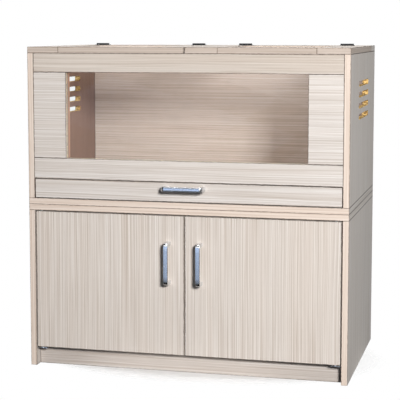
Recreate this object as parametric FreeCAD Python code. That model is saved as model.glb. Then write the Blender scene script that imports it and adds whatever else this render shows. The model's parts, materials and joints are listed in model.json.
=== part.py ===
import FreeCAD, Part
import math
import os

# Hamster cage on a two-door cabinet, flat-pack laminated board, millimetres.
# X runs left to right, -Y is the front, +Z is up. The origin is under the middle of the
# whole object, on the floor, so the front edges of the boards stand at front_y.

# ---- driving dimensions: the two carcasses ----
width = 800.0
depth = 480.0
board = 15.0                    # thickness of every laminated board
cabinet_side_height = 395.0
cage_side_height = 360.0

# ---- cabinet ----
plinth_height = 45.0
plinth_setback = 25.0
back_panel = 3.0                # hardboard
back_panel_inset = 10.0         # from the rear edges to the hardboard
back_groove_depth = 7.0
fit_gap = 0.2                   # sliding fit of a panel in its groove, each side

# ---- doors ----
door_gap = 2.5                  # round the outside of each door
door_meeting_gap = 3.0          # between the two doors
front_setback = 1.0             # doors and drawer front stand back from the board edges
swing_clearance = 0.35          # what the turning door corner leaves to the side panel
pivot_plate = 2.0
pivot_plate_width = 24.0
pivot_plate_rear = 64.0         # from the front edges to the rear end of the plate
pivot_pin_radius = 2.5
pivot_pin_length = 12.0
pivot_shoulder_radius = 4.5
bush_radius = 4.5
bush_length = 14.0
running_clearance = 0.06        # radial, pin in bush and pin in knuckle
rest_gap = 0.3                  # between pieces that move past each other

# ---- magnetic catches ----
catch_width = 46.0
catch_height = 13.0
catch_depth = 15.0
catch_from_meeting = 60.0       # catch centre from the middle of the cabinet
strike_width = 40.0
strike_height = 12.0
strike = 1.5

# ---- bow handles ----
handle_centres = 96.0
handle_leg = 9.0
handle_strip = 5.0
handle_width = 11.5
handle_projection = 31.0
handle_corner = 10.0
handle_from_meeting = 40.0      # door handles from the middle of the cabinet
handle_height = 277.0           # middle of the door handles above the floor
drawer_handle_drop = 15.0       # drawer handle below the top of its opening
handle_screw_radius = 2.0
handle_screw_bite = 10.0        # into the handle leg
handle_screw_head_radius = 4.0
handle_screw_head = 2.4
handle_hole_radius = 2.25

# ---- cage front ----
drawer_opening_height = 50.0
lower_rail_height = 51.0
window_height = 212.0
stile_width = 84.0
pane = 3.0
pane_edge_in_groove = 8.0
pane_groove_depth = 8.5
batten_width = 30.0             # the upright behind each stile, beside the window
batten_dowel_from_end = 40.0

# ---- vents in the cage sides ----
vent_count = 4
vent_from_front = 155.0
vent_length = 190.0
vent_height = 13.5
vent_pitch = 27.0
vent_top_drop = 75.0            # centre of the top vent below the top of the side

# ---- drawer ----
drawer_front_gap = 1.5
drawer_side_gap = 2.5
drawer_side = 12.0
drawer_side_top_gap = 3.0
drawer_bottom = 3.0
drawer_bottom_lift = 3.0        # under the drawer bottom, above the lower edge of the sides
drawer_groove_depth = 5.0
drawer_rear_gap = 10.0
glide = 3.0
glide_length = 40.0
glide_from_end = 30.0

# ---- lids ----
top_back_rail_depth = 80.0
lid_rail = 80.0
lid_meeting_gap = 3.0
lid_rear_gap = 2.0
mesh_pitch = 12.0
mesh_wire = 1.2
mesh_lap = 10.0                 # least lap of the mesh on the lid frame
staple_crown = 10.0
staple_leg = 8.0
staple_wire = 0.8
staple_spacing_cells = 6

# ---- lid hinges ----
hinge_width = 35.0
hinge_leaf = 18.0               # from the hinge axis to the free edge of a leaf
hinge_leaf_thickness = 1.2
hinge_knuckle_radius = 2.5
hinge_pin_radius = 1.25
hinge_knuckle_gap = 0.4
hinge_from_end = 63.0           # hinge centre from each end of its lid
hinge_screw_spread = 22.0
hinge_screw_from_axis = 11.0

# ---- small screws, cam fittings, dowels ----
screw_radius = 1.5
screw_length = 13.0
screw_head_radius = 2.7
screw_head = 1.4
cam_radius = 7.5
cam_depth = 12.0
cam_from_edge = 34.0
cam_bolt_radius = 3.5
cam_bolt_seat = 2.5             # how far the bolt reaches into its disc
cam_thread_radius = 2.5
cam_thread_length = 11.0
cam_from_front = 95.0           # cams from the front and rear edges
dowel_radius = 4.0
dowel_length = 20.0
dowel_from_front = 140.0
joining_screw_radius = 2.0
joining_screw_bite = 12.0
joining_screw_head_radius = 4.0
joining_screw_head = 2.4
joining_inset = 120.0

# ---- places worked out from the sizes above ----
half = width / 2
inner = half - board
front_y = (handle_projection - front_setback - depth) / 2
rear_y = front_y + depth
mid_board = board / 2
leaf_y0 = front_y + front_setback            # face of the doors and the drawer
leaf_y1 = leaf_y0 + board
cabinet_top_z = cabinet_side_height
cage_floor_z = cabinet_top_z + board
cage_z0 = cage_floor_z + board
cage_z1 = cage_z0 + cage_side_height
top_z = cage_z1 + board
drawer_top_z = cage_z0 + drawer_opening_height
window_z0 = drawer_top_z + lower_rail_height
window_z1 = window_z0 + window_height
window_x = inner - stile_width
swing = door_gap - swing_clearance
pivot_inset = (mid_board ** 2 - swing ** 2) / (2 * swing)
pivot_radius = pivot_inset + swing           # reach of the door corner round its pivot
pivot_x = inner - door_gap - pivot_inset
pivot_y = leaf_y0 + mid_board
door_z0 = plinth_height + door_gap
door_z1 = cabinet_top_z - door_gap
bottom_y0 = pivot_y + pivot_radius + swing_clearance
back_y0 = rear_y - back_panel_inset - back_panel
lid_seam_y = rear_y - top_back_rail_depth - lid_rear_gap / 2
lid_y1 = lid_seam_y - lid_rear_gap / 2
hinge_z = top_z + hinge_knuckle_radius + rest_gap
up = FreeCAD.Vector(0, 0, 1)

nodes = {}


def box(x0, x1, y0, y1, z0, z1):
    low = FreeCAD.Vector(min(x0, x1), min(y0, y1), min(z0, z1))
    return Part.makeBox(abs(x1 - x0), abs(y1 - y0), abs(z1 - z0), low)


def rod(radius, start, direction, length):
    return Part.makeCylinder(radius, length, FreeCAD.Vector(*start), FreeCAD.Vector(*direction))


def group(solids):
    return Part.makeCompound(solids)


def add(name, shape):
    nodes[name] = shape


def cut(name, *tools):
    nodes[name] = nodes[name].cut(group(tools))


def add_solids(name, solids):
    """Adds more separate solids to a group node."""
    before = nodes[name].Solids if name in nodes else []
    nodes[name] = group(before + solids)


# ---- fasteners: each call cuts its own seat and adds the loose piece ----

def headed_screw(head_face, direction, radius, length, head_radius, head):
    point = FreeCAD.Vector(*head_face)
    along = FreeCAD.Vector(*direction)
    top = Part.makeCylinder(head_radius, head, point - along * head, along)
    return top.fuse(Part.makeCylinder(radius, length, point, along)).removeSplitter()


def small_screw(node, boards, head_face, direction):
    """A pan-head wood screw whose head bears on head_face and which bites into the boards."""
    screw = headed_screw(head_face, direction, screw_radius, screw_length, screw_head_radius, screw_head)
    for name in boards:
        cut(name, screw)
    add_solids(node, [screw])


def dowel(first, second, seam, direction):
    """A glued dowel centred on the seam between two boards."""
    along = FreeCAD.Vector(*direction)
    start = FreeCAD.Vector(*seam) - along * (dowel_length / 2)
    peg = Part.makeCylinder(dowel_radius, dowel_length, start, along)
    cut(first, peg)
    cut(second, peg)
    add_solids("dowels", [peg])


def cam_fitting(host, mate, seam, into_mate, disc_normal):
    """A cam disc let into the host's face, with its bolt crossing the seam into the mate."""
    point = FreeCAD.Vector(*seam)
    along = FreeCAD.Vector(*into_mate)
    normal = FreeCAD.Vector(*disc_normal)
    centre = point - along * cam_from_edge + normal * mid_board
    disc = Part.makeCylinder(cam_radius, cam_depth, centre, normal * -1)
    reach = cam_from_edge - cam_radius + cam_bolt_seat
    shank = Part.makeCylinder(cam_bolt_radius, reach, point - along * reach, along)
    bolt = shank.fuse(Part.makeCylinder(cam_thread_radius, cam_thread_length, point, along)).removeSplitter()
    cut(host, disc.fuse(bolt))
    cut(mate, bolt)
    disc = disc.cut(bolt)
    add_solids("cam_fittings", [disc, bolt])


# ---- cabinet ----

def cabinet_boards():
    for side, sign in (("left", -1), ("right", 1)):
        panel = box(sign * inner, sign * half, front_y, rear_y, 0, cabinet_side_height)
        groove = box(sign * inner, sign * (inner + back_groove_depth), back_y0 - fit_gap,
                     back_y0 + back_panel + fit_gap, 0, cabinet_side_height)
        add("cabinet_" + side + "_side", panel.cut(groove))
    top = box(-half, half, front_y, rear_y, cabinet_top_z, cage_floor_z)
    top_groove = box(-inner - back_groove_depth, inner + back_groove_depth, back_y0 - fit_gap,
                     back_y0 + back_panel + fit_gap, cabinet_top_z, cabinet_top_z + back_groove_depth)
    add("cabinet_top", top.cut(top_groove))
    add("cabinet_bottom", box(-inner, inner, bottom_y0, back_y0, plinth_height, plinth_height + board))
    reach = back_groove_depth - fit_gap
    add("cabinet_back", box(-inner - reach, inner + reach, back_y0, back_y0 + back_panel,
                            rest_gap, cabinet_top_z + reach))
    plinth_y = front_y + plinth_setback
    add("plinth_front", box(-inner, inner, plinth_y, plinth_y + board, 0, plinth_height))
    add("plinth_back", box(-inner, inner, back_y0 - board, back_y0, 0, plinth_height))


def cabinet_fittings():
    for side, sign in (("left", -1), ("right", 1)):
        panel = "cabinet_" + side + "_side"
        outward = (sign, 0, 0)
        inward = (-sign, 0, 0)
        mid_x = sign * (inner + mid_board)
        for y in (front_y + cam_from_front, rear_y - cam_from_front):
            seam = (sign * inner, y, plinth_height + mid_board)
            cam_fitting("cabinet_bottom", panel, seam, outward, (0, 0, -1))
            cam_fitting(panel, "cabinet_top", (mid_x, y, cabinet_top_z), (0, 0, 1), inward)
        for y in (front_y + dowel_from_front, rear_y - dowel_from_front):
            dowel("cabinet_bottom", panel, (sign * inner, y, plinth_height + mid_board), outward)
            dowel(panel, "cabinet_top", (mid_x, y, cabinet_top_z), (0, 0, 1))
        for plinth in ("plinth_front", "plinth_back"):
            middle = nodes[plinth].BoundBox.Center
            dowel(plinth, panel, (sign * inner, middle.y, plinth_height / 2), outward)


# ---- doors ----

def pivot_plates():
    plates = []
    plate_y0 = pivot_y - pivot_shoulder_radius - 1
    plate_y1 = front_y + pivot_plate_rear
    shoulder = door_gap - rest_gap
    for sign in (-1, 1):
        x = sign * pivot_x
        x0, x1 = x - pivot_plate_width / 2, x + pivot_plate_width / 2
        for face_z, facing in ((plinth_height, 1), (cabinet_top_z, -1)):
            plate = box(x0, x1, plate_y0, plate_y1, face_z, face_z - facing * pivot_plate)
            collar = rod(pivot_shoulder_radius, (x, pivot_y, face_z), (0, 0, facing), shoulder)
            pin = rod(pivot_pin_radius, (x, pivot_y, face_z), (0, 0, facing), shoulder + pivot_pin_length)
            plates.append(plate.fuse([collar, pin]).removeSplitter())
            seat = "plinth_front" if facing > 0 else "cabinet_top"
            cut(seat, plate)
    add("door_pivot_plates", group(plates))
    for sign in (-1, 1):
        for y in (plate_y1 - 7, plate_y1 - 17):
            under_bottom = (sign * pivot_x, y, plinth_height - pivot_plate)
            under_top = (sign * pivot_x, y, cabinet_top_z)
            small_screw("small_screws", ("door_pivot_plates", "cabinet_bottom"), under_bottom, (0, 0, 1))
            small_screw("small_screws", ("door_pivot_plates", "cabinet_top"), under_top, (0, 0, 1))


def door(side, sign):
    leaf = box(sign * door_meeting_gap / 2, sign * (inner - door_gap), leaf_y0, leaf_y1, door_z0, door_z1)
    add(side + "_door", leaf)
    bushes = []
    for z, facing in ((door_z0, 1), (door_z1, -1)):
        shell = rod(bush_radius, (sign * pivot_x, pivot_y, z), (0, 0, facing), bush_length)
        bore = rod(pivot_pin_radius + running_clearance, (sign * pivot_x, pivot_y, z), (0, 0, facing),
                   pivot_pin_length + rest_gap)
        cut(side + "_door", shell)
        bushes.append(shell.cut(bore))
    add(side + "_door_bushes", group(bushes))


def bow_handle(length_axis, centre, face_y):
    """A bow handle standing off a board face towards the front: a bent strip on two square legs."""
    outer = handle_centres / 2 + handle_leg / 2
    opening = handle_centres / 2 - handle_leg / 2
    bow = box(-outer, outer, -handle_projection, 0, -handle_width / 2, handle_width / 2)
    corners = [e for e in bow.Edges if is_corner(e, outer, -handle_projection)]
    bow = bow.makeFillet(handle_corner, corners)
    hollow = box(-opening, opening, -handle_projection + handle_strip, handle_leg,
                 -handle_width, handle_width)
    inner_corners = [e for e in hollow.Edges if is_corner(e, opening, -handle_projection + handle_strip)]
    hollow = hollow.makeFillet(handle_corner - handle_strip, inner_corners)
    bow = bow.cut(hollow)
    if length_axis == "z":
        bow.rotate(FreeCAD.Vector(0, 0, 0), FreeCAD.Vector(0, 1, 0), -90)
    bow.translate(FreeCAD.Vector(centre[0], face_y, centre[1]))
    return bow


def is_corner(edge, x, y):
    """True for an edge along Z at the given distance from the middle and the given y."""
    first, last = edge.Vertexes[0].Point, edge.Vertexes[-1].Point
    upright = abs(first.x - last.x) < 1e-6 and abs(first.y - last.y) < 1e-6
    return upright and abs(abs(first.x) - x) < 1e-6 and abs(first.y - y) < 1e-6


def fit_handle(board_name, prefix, length_axis, centre):
    add(prefix + "_handle", bow_handle(length_axis, centre, leaf_y0))
    screws = []
    for sign in (-1, 1):
        shift = sign * handle_centres / 2
        x = centre[0] + (shift if length_axis == "x" else 0)
        z = centre[1] + (shift if length_axis == "z" else 0)
        screws.append(headed_screw((x, leaf_y1, z), (0, -1, 0), handle_screw_radius,
                                   board + handle_screw_bite, handle_screw_head_radius, handle_screw_head))
        cut(board_name, rod(handle_hole_radius, (x, leaf_y0, z), (0, 1, 0), board))
        cut(prefix + "_handle", screws[-1])
    add(prefix + "_handle_screws", group(screws))


def catch(side, sign):
    x = sign * catch_from_meeting
    strike_y1 = leaf_y1 + strike
    body_y0 = strike_y1 + rest_gap
    z1 = cabinet_top_z
    body = box(x - catch_width / 2, x + catch_width / 2, body_y0, body_y0 + catch_depth, z1 - catch_height, z1)
    ear = screw_head_radius * 2 + 3
    ear_floor = z1 - pivot_plate
    for edge in (-1, 1):
        outer = x + edge * catch_width / 2
        body = body.cut(box(outer, outer - edge * ear, body_y0, body_y0 + catch_depth, z1 - catch_height, ear_floor))
    add_solids("door_catches", [body])
    for edge in (-1, 1):
        head = (x + edge * (catch_width / 2 - ear / 2), body_y0 + catch_depth / 2, ear_floor)
        small_screw("small_screws", ("door_catches", "cabinet_top"), head, (0, 0, 1))
    strike_z = (door_z1 + z1 - catch_height) / 2
    add(side + "_door_strike", box(x - strike_width / 2, x + strike_width / 2, leaf_y1, strike_y1,
                                   strike_z - strike_height / 2, strike_z + strike_height / 2))


# ---- cage ----

def vent_slots(sign):
    """Through slots with round ends, one above the other, in a cage side."""
    slots = []
    radius = vent_height / 2
    for row in range(vent_count):
        z = cage_z1 - vent_top_drop - row * vent_pitch
        y0 = front_y + vent_from_front + radius
        y1 = front_y + vent_from_front + vent_length - radius
        x0 = sign * inner
        slot = box(x0, sign * half, y0, y1, z - radius, z + radius)
        ends = [rod(radius, (x0, y, z), (sign, 0, 0), board) for y in (y0, y1)]
        slots.append(slot.fuse(ends))
    return slots


def cage_boards():
    add("cage_floor", box(-half, half, front_y, rear_y, cage_floor_z, cage_z0))
    for side, sign in (("left", -1), ("right", 1)):
        panel = box(sign * inner, sign * half, front_y, rear_y, cage_z0, cage_z1)
        add("cage_" + side + "_side", panel.cut(group(vent_slots(sign))))
    add("cage_back", box(-inner, inner, rear_y - board, rear_y, cage_z0, cage_z1))
    add("top_back_rail", box(-half, half, lid_seam_y + lid_rear_gap / 2, rear_y, cage_z1, top_z))


def cage_front():
    y0, y1 = front_y, front_y + board
    add("front_lower_rail", box(-inner, inner, y0, y1, drawer_top_z, window_z0))
    add("front_top_rail", box(-inner, inner, y0, y1, window_z1, cage_z1))
    add("front_left_stile", box(-inner, -window_x, y0, y1, window_z0, window_z1))
    add("front_right_stile", box(window_x, inner, y0, y1, window_z0, window_z1))
    middle = front_y + mid_board
    lap = pane_edge_in_groove
    add("window_pane", box(-window_x - lap, window_x + lap, middle - pane / 2, middle + pane / 2,
                           window_z0 - pane_groove_depth, window_z1 + lap))
    deep = pane_groove_depth
    groove = box(-window_x - deep, window_x + deep, middle - pane / 2, middle + pane / 2,
                 window_z0 - deep, window_z1 + deep)
    for name in ("front_lower_rail", "front_top_rail", "front_left_stile", "front_right_stile"):
        cut(name, groove)
    battens = [box(sign * window_x, sign * (window_x + batten_width), y1, y1 + board, window_z0, window_z1)
               for sign in (-1, 1)]
    add("window_battens", group(battens))


def cage_fittings():
    mid_front = front_y + mid_board
    for side, sign in (("left", -1), ("right", 1)):
        panel = "cage_" + side + "_side"
        outward = (sign, 0, 0)
        mid_x = sign * (inner + mid_board)
        for y in (front_y + cam_from_front, rear_y - cam_from_front):
            cam_fitting(panel, "cage_floor", (mid_x, y, cage_z0), (0, 0, -1), (-sign, 0, 0))
        for y in (front_y + dowel_from_front, rear_y - dowel_from_front):
            dowel(panel, "cage_floor", (mid_x, y, cage_z0), (0, 0, 1))
        for rail, z in (("front_lower_rail", drawer_top_z + lower_rail_height / 2),
                        ("front_top_rail", (window_z1 + cage_z1) / 2)):
            cam_fitting(rail, panel, (sign * inner, mid_front, z), outward, (0, 1, 0))
        stile = "front_" + side + "_stile"
        stile_x = sign * (inner - stile_width / 2)
        dowel(stile, "front_lower_rail", (stile_x, mid_front, window_z0), (0, 0, 1))
        dowel(stile, "front_top_rail", (stile_x, mid_front, window_z1), (0, 0, 1))
        batten_x = sign * (window_x + batten_width / 2)
        for z in (window_z0 + batten_dowel_from_end, window_z1 - batten_dowel_from_end):
            dowel(stile, "window_battens", (batten_x, front_y + board, z), (0, 1, 0))
        for z in (cage_z0 + dowel_from_front, cage_z1 - dowel_from_front):
            dowel("cage_back", panel, (sign * inner, rear_y - mid_board, z), outward)
        dowel(panel, "top_back_rail", (mid_x, rear_y - top_back_rail_depth / 2, cage_z1), (0, 0, 1))


def joining_screws():
    """Screws driven up from inside the cabinet, which hold the cage on the cabinet."""
    screws = []
    for x in (-half + joining_inset, half - joining_inset):
        for y in (front_y + joining_inset, rear_y - joining_inset):
            screw = headed_screw((x, y, cabinet_top_z), (0, 0, 1), joining_screw_radius,
                                 board + joining_screw_bite, joining_screw_head_radius, joining_screw_head)
            screws.append(screw)
            cut("cabinet_top", screw)
            cut("cage_floor", screw)
    add("joining_screws", group(screws))


# ---- drawer ----

def drawer():
    z_side0 = cage_z0 + rest_gap + glide
    z_side1 = drawer_top_z - drawer_side_top_gap
    x_outer = inner - drawer_side_gap
    x_inner = x_outer - drawer_side
    y_back = rear_y - board - drawer_rear_gap
    add("drawer_front", box(-inner + drawer_front_gap, inner - drawer_front_gap, leaf_y0, leaf_y1,
                            cage_z0 + drawer_front_gap, drawer_top_z - drawer_front_gap))
    add("drawer_left_side", box(-x_outer, -x_inner, leaf_y1, y_back, z_side0, z_side1))
    add("drawer_right_side", box(x_inner, x_outer, leaf_y1, y_back, z_side0, z_side1))
    add("drawer_back", box(-x_inner, x_inner, y_back - drawer_side, y_back, z_side0, z_side1))
    z_bottom = z_side0 + drawer_bottom_lift
    deep = drawer_groove_depth
    bottom = box(-x_inner - deep, x_inner + deep, leaf_y1 - deep, y_back - drawer_side + deep,
                 z_bottom, z_bottom + drawer_bottom)
    add("drawer_bottom", bottom)
    for name in ("drawer_front", "drawer_left_side", "drawer_right_side", "drawer_back"):
        cut(name, bottom)
    pads = []
    for sign in (-1, 1):
        for y in (leaf_y1 + glide_from_end, y_back - glide_from_end - glide_length):
            pads.append(box(sign * x_inner, sign * x_outer, y, y + glide_length, z_side0 - glide, z_side0))
    add("drawer_glides", group(pads))


# ---- lids ----

def lid_mesh(x0, x1, y0, y1):
    """A square welded mesh over the opening, drawn as one flat grid under the lid frame."""
    columns = math.ceil((x1 - x0 + 2 * mesh_lap) / mesh_pitch)
    rows = math.ceil((y1 - y0 + 2 * mesh_lap) / mesh_pitch)
    left = (x0 + x1) / 2 - columns * mesh_pitch / 2
    near = (y0 + y1) / 2 - rows * mesh_pitch / 2
    z = cage_z1 - mesh_wire
    outline = Part.makePlane(columns * mesh_pitch + mesh_wire, rows * mesh_pitch + mesh_wire,
                             FreeCAD.Vector(left - mesh_wire / 2, near - mesh_wire / 2, z), up)
    hole = mesh_pitch - mesh_wire
    wires = [outline.OuterWire]
    for column in range(columns):
        for row in range(rows):
            corner = FreeCAD.Vector(left + column * mesh_pitch + mesh_wire / 2,
                                    near + row * mesh_pitch + mesh_wire / 2, z)
            wires.append(Part.makePlane(hole, hole, corner, up).OuterWire)
    grid = Part.Face(wires, "Part::FaceMakerBullseye").extrude(up * mesh_wire)
    return grid, left, near, columns, rows


def staple(x, y, across_x):
    """A staple under the mesh: its crown below the wire and its legs up in the lid frame."""
    z0 = cage_z1 - mesh_wire - staple_wire
    reach = staple_crown / 2
    thick = staple_wire / 2
    length = mesh_wire + staple_wire + staple_leg
    along = (reach, thick) if across_x else (thick, reach)
    parts = [box(x - along[0], x + along[0], y - along[1], y + along[1], z0, z0 + staple_wire)]
    for sign in (-1, 1):
        leg_x = x + (sign * (reach - thick) if across_x else 0)
        leg_y = y + (0 if across_x else sign * (reach - thick))
        parts.append(box(leg_x - thick, leg_x + thick, leg_y - thick, leg_y + thick, z0, z0 + length))
    return parts[0].fuse(parts[1:]).removeSplitter()


def mesh_staples(left, near, columns, rows):
    """Staples inside the edge wires of the mesh, each across one wire."""
    solids = []
    edge = mesh_pitch / 2
    for column in range(2, columns - 1, staple_spacing_cells):
        x = left + column * mesh_pitch
        for y in (near + edge, near + rows * mesh_pitch - edge):
            solids.append(staple(x, y, True))
    for row in range(2, rows - 1, staple_spacing_cells):
        y = near + row * mesh_pitch
        for x in (left + edge, left + columns * mesh_pitch - edge):
            solids.append(staple(x, y, False))
    return solids


def lid(side, x0, x1, front_rail_ends_lid):
    """A lid frame of four boards with mesh under its opening. The front rail of one lid runs to
    the end of the lid in front of the inner stile, and the other stands between its stiles."""
    z0, z1 = cage_z1, top_z
    name = side + "_lid_"
    in0, in1 = x0 + lid_rail, x1 - lid_rail
    near, far = front_y + lid_rail, lid_y1 - lid_rail
    right_y0 = near if front_rail_ends_lid else front_y
    front_x1 = x1 if front_rail_ends_lid else in1
    add(name + "left_stile", box(x0, in0, front_y, lid_y1, z0, z1))
    add(name + "right_stile", box(in1, x1, right_y0, lid_y1, z0, z1))
    add(name + "front_rail", box(in0, front_x1, front_y, near, z0, z1))
    add(name + "back_rail", box(in0, in1, far, lid_y1, z0, z1))
    grid, left, low, columns, rows = lid_mesh(in0, in1, near, far)
    add(name + "mesh", grid)
    staples = group(mesh_staples(left, low, columns, rows))
    for part in ("left_stile", "right_stile", "front_rail", "back_rail"):
        nodes[name + part] = nodes[name + part].cut(staples)
    add(name + "staples", staples)


def hinge(side, x):
    """A butt hinge lying on the top: the lid's leaf has the middle knuckle, the rail's has two."""
    third = (hinge_width - 2 * hinge_knuckle_gap) / 3
    spans = [x - hinge_width / 2 + i * (third + hinge_knuckle_gap) for i in range(3)]
    clear = hinge_knuckle_radius + hinge_knuckle_gap
    x_low = x - hinge_width / 2
    z0, z1 = top_z, top_z + hinge_leaf_thickness
    bore = rod(hinge_pin_radius, (x_low, lid_seam_y, hinge_z), (1, 0, 0), hinge_width)
    moving_bore = rod(hinge_pin_radius + running_clearance, (x_low, lid_seam_y, hinge_z), (1, 0, 0), hinge_width)
    base = box(x_low, x_low + hinge_width, lid_seam_y + clear, lid_seam_y + hinge_leaf, z0, z1)
    for start in (spans[0], spans[2]):
        knuckle = rod(hinge_knuckle_radius, (start, lid_seam_y, hinge_z), (1, 0, 0), third)
        tab = box(start, start + third, lid_seam_y, lid_seam_y + clear, z0, z1)
        base = base.fuse([knuckle, tab])
    leaf = box(x_low, x_low + hinge_width, lid_seam_y - hinge_leaf, lid_seam_y - clear, z0, z1)
    knuckle = rod(hinge_knuckle_radius, (spans[1], lid_seam_y, hinge_z), (1, 0, 0), third)
    tab = box(spans[1], spans[1] + third, lid_seam_y - clear, lid_seam_y, z0, z1)
    leaf = leaf.fuse([knuckle, tab])
    add_solids("hinge_base_leaves", [base.cut(bore).removeSplitter()])
    add_solids("hinge_pins", [bore])
    add_solids(side + "_lid_hinge_leaves", [leaf.cut(moving_bore).removeSplitter()])


def hinge_screws(side, x):
    for shift in (-hinge_screw_spread / 2, hinge_screw_spread / 2):
        on_leaf = top_z + hinge_leaf_thickness
        on_rail = (x + shift, lid_seam_y + hinge_screw_from_axis, on_leaf)
        on_lid = (x + shift, lid_seam_y - hinge_screw_from_axis, on_leaf)
        small_screw("small_screws", ("hinge_base_leaves", "top_back_rail"), on_rail, (0, 0, -1))
        lid_parts = [side + "_lid_hinge_leaves"]
        lid_parts += [side + "_lid_" + part for part in ("left_stile", "right_stile", "back_rail")]
        small_screw(side + "_lid_hinge_screws", lid_parts, on_lid, (0, 0, -1))


# ---- assembly ----

cabinet_boards()
cage_boards()
cage_front()
pivot_plates()
for side, sign in (("left", -1), ("right", 1)):
    door(side, sign)
    catch(side, sign)
    fit_handle(side + "_door", side + "_door", "z", (sign * handle_from_meeting, handle_height))
cabinet_fittings()
cage_fittings()
joining_screws()
drawer()
fit_handle("drawer_front", "drawer", "x", (0, drawer_top_z - drawer_handle_drop))
lids = (("left", -half, -lid_meeting_gap / 2, True), ("right", lid_meeting_gap / 2, half, False))
for side, x0, x1, front_rail_ends_lid in lids:
    lid(side, x0, x1, front_rail_ends_lid)
    for x in (x0 + hinge_from_end, x1 - hinge_from_end):
        hinge(side, x)
        hinge_screws(side, x)

os.makedirs("parts", exist_ok=True)
for name in sorted(nodes):
    shape = nodes[name]
    if len(shape.Solids) == 1:
        shape = shape.Solids[0]
    if not shape.isValid():
        raise ValueError(name + " is not a valid solid")
    shape.exportStep("parts/" + name + ".step")
    size = shape.BoundBox
    print(name, len(shape.Solids), "solids", round(size.XLength, 1), round(size.YLength, 1), round(size.ZLength, 1))
print(len(nodes), "nodes; door pivots at x", round(pivot_x, 2), "y", round(pivot_y, 2),
      "; lid hinge axis at y", round(lid_seam_y, 2), "z", round(hinge_z, 2))
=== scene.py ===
# %% [markdown]
# # A hamster cage on a cabinet
# The real object is flat-pack furniture: boards of laminated chipboard, 15 mm thick, with thin plastic
# banding on their cut edges, bow handles, butt hinges on the lids, and wire mesh under the lid frames.
# The imported model gives every board its place and size. This script gives the boards their laminate,
# makes the small repeated metal pieces, and sets the light.
# The model is loaded first.

# %% Load the frame
import json
import math

import bmesh
import bpy
from mathutils import Matrix, Vector


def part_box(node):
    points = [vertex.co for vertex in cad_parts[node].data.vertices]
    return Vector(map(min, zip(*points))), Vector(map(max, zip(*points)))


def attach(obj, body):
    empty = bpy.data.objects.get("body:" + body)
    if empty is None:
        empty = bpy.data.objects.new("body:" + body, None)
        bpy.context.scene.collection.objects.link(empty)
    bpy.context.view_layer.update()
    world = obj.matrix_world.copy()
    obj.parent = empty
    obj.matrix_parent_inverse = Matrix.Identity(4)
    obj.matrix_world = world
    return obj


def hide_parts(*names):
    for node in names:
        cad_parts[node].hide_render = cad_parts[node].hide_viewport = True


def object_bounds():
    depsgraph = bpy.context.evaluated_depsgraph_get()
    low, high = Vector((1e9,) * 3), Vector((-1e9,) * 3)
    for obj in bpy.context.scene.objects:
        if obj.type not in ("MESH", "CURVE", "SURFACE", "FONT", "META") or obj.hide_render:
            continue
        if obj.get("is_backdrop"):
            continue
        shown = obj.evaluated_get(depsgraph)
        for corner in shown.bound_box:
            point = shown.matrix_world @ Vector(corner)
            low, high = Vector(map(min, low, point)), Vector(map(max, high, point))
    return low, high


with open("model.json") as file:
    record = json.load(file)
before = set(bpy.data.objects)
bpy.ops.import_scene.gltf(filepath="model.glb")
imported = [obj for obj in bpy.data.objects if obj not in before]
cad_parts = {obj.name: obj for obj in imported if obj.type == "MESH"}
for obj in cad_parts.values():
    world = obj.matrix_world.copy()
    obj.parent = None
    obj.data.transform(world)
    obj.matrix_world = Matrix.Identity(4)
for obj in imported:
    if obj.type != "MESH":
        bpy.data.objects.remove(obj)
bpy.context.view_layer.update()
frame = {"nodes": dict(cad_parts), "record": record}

bodies = frame["record"]["behaviour"]["bodies"]
body_of = {node: body for body, members in bodies.items() for node in members}
MM = 0.001

# %% [markdown]
# ## The camera
# A product picture is taken from the side that the maker wants to show, a little to the right and from
# just above the lids, with a long lens so that the boards stay nearly parallel. A target on the object
# would do, but a heading and a tilt are plainer here. The small downward shift keeps the upright boards
# nearly upright, as a shift lens does.

# %% Camera
front_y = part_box("cage_floor")[0][1]
left_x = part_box("cage_floor")[0][0]

camera_data = bpy.data.cameras.new("camera")
camera_data.sensor_width = 36.0
camera_data.lens = 115.1
camera_data.shift_y = -0.10
camera = bpy.data.objects.new("camera", camera_data)
bpy.context.collection.objects.link(camera)
camera.location = (left_x + 1.189, front_y - 2.963, 0.842)
camera.rotation_euler = (math.radians(90 - 5.822), 0, 0.2478)
bpy.context.scene.camera = camera
print("camera", [round(v, 3) for v in camera.location], "lens", camera_data.lens)

# %% [markdown]
# ## Nodes in Python
# Every finish below is a small network of shader nodes. One helper adds a node, sets its options and
# fills its inputs, with a plain value or with another node's output, so that a material reads like a recipe.
# Nodes are looked up by their type, and sockets by their name or place.

# %% A helper for nodes
def put(tree, kind, inputs=None, **options):
    """Adds a node, sets its options, and fills its inputs with values or with other nodes' outputs."""
    made = tree.nodes.new(kind)
    for key, value in options.items():
        setattr(made, key, value)
    for key, value in (inputs or {}).items():
        if isinstance(value, bpy.types.NodeSocket):
            tree.links.new(value, made.inputs[key])
        else:
            made.inputs[key].default_value = value
    return made


def start_material(name, roughness, metallic=0.0, specular=0.5):
    """A material with one Principled shader. Values that are the same all over are set on its sockets."""
    material = bpy.data.materials.new(name)
    material.use_nodes = True
    shader = material.node_tree.nodes["Principled BSDF"]
    shader.inputs["Roughness"].default_value = roughness
    shader.inputs["Metallic"].default_value = metallic
    shader.inputs["Specular IOR Level"].default_value = specular
    return material, material.node_tree, shader


def stretched(tree, place, scale, shift=(0, 0, 0)):
    """The place, scaled unevenly, so that a noise turns into streaks."""
    return put(tree, "ShaderNodeMapping", {"Vector": place, "Scale": scale, "Location": shift}).outputs[0]


def noise(tree, place, scale, detail=2.0, roughness=0.5):
    made = put(tree, "ShaderNodeTexNoise", {"Vector": place, "Scale": scale, "Detail": detail,
                                            "Roughness": roughness})
    return made.outputs["Fac"]


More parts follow.
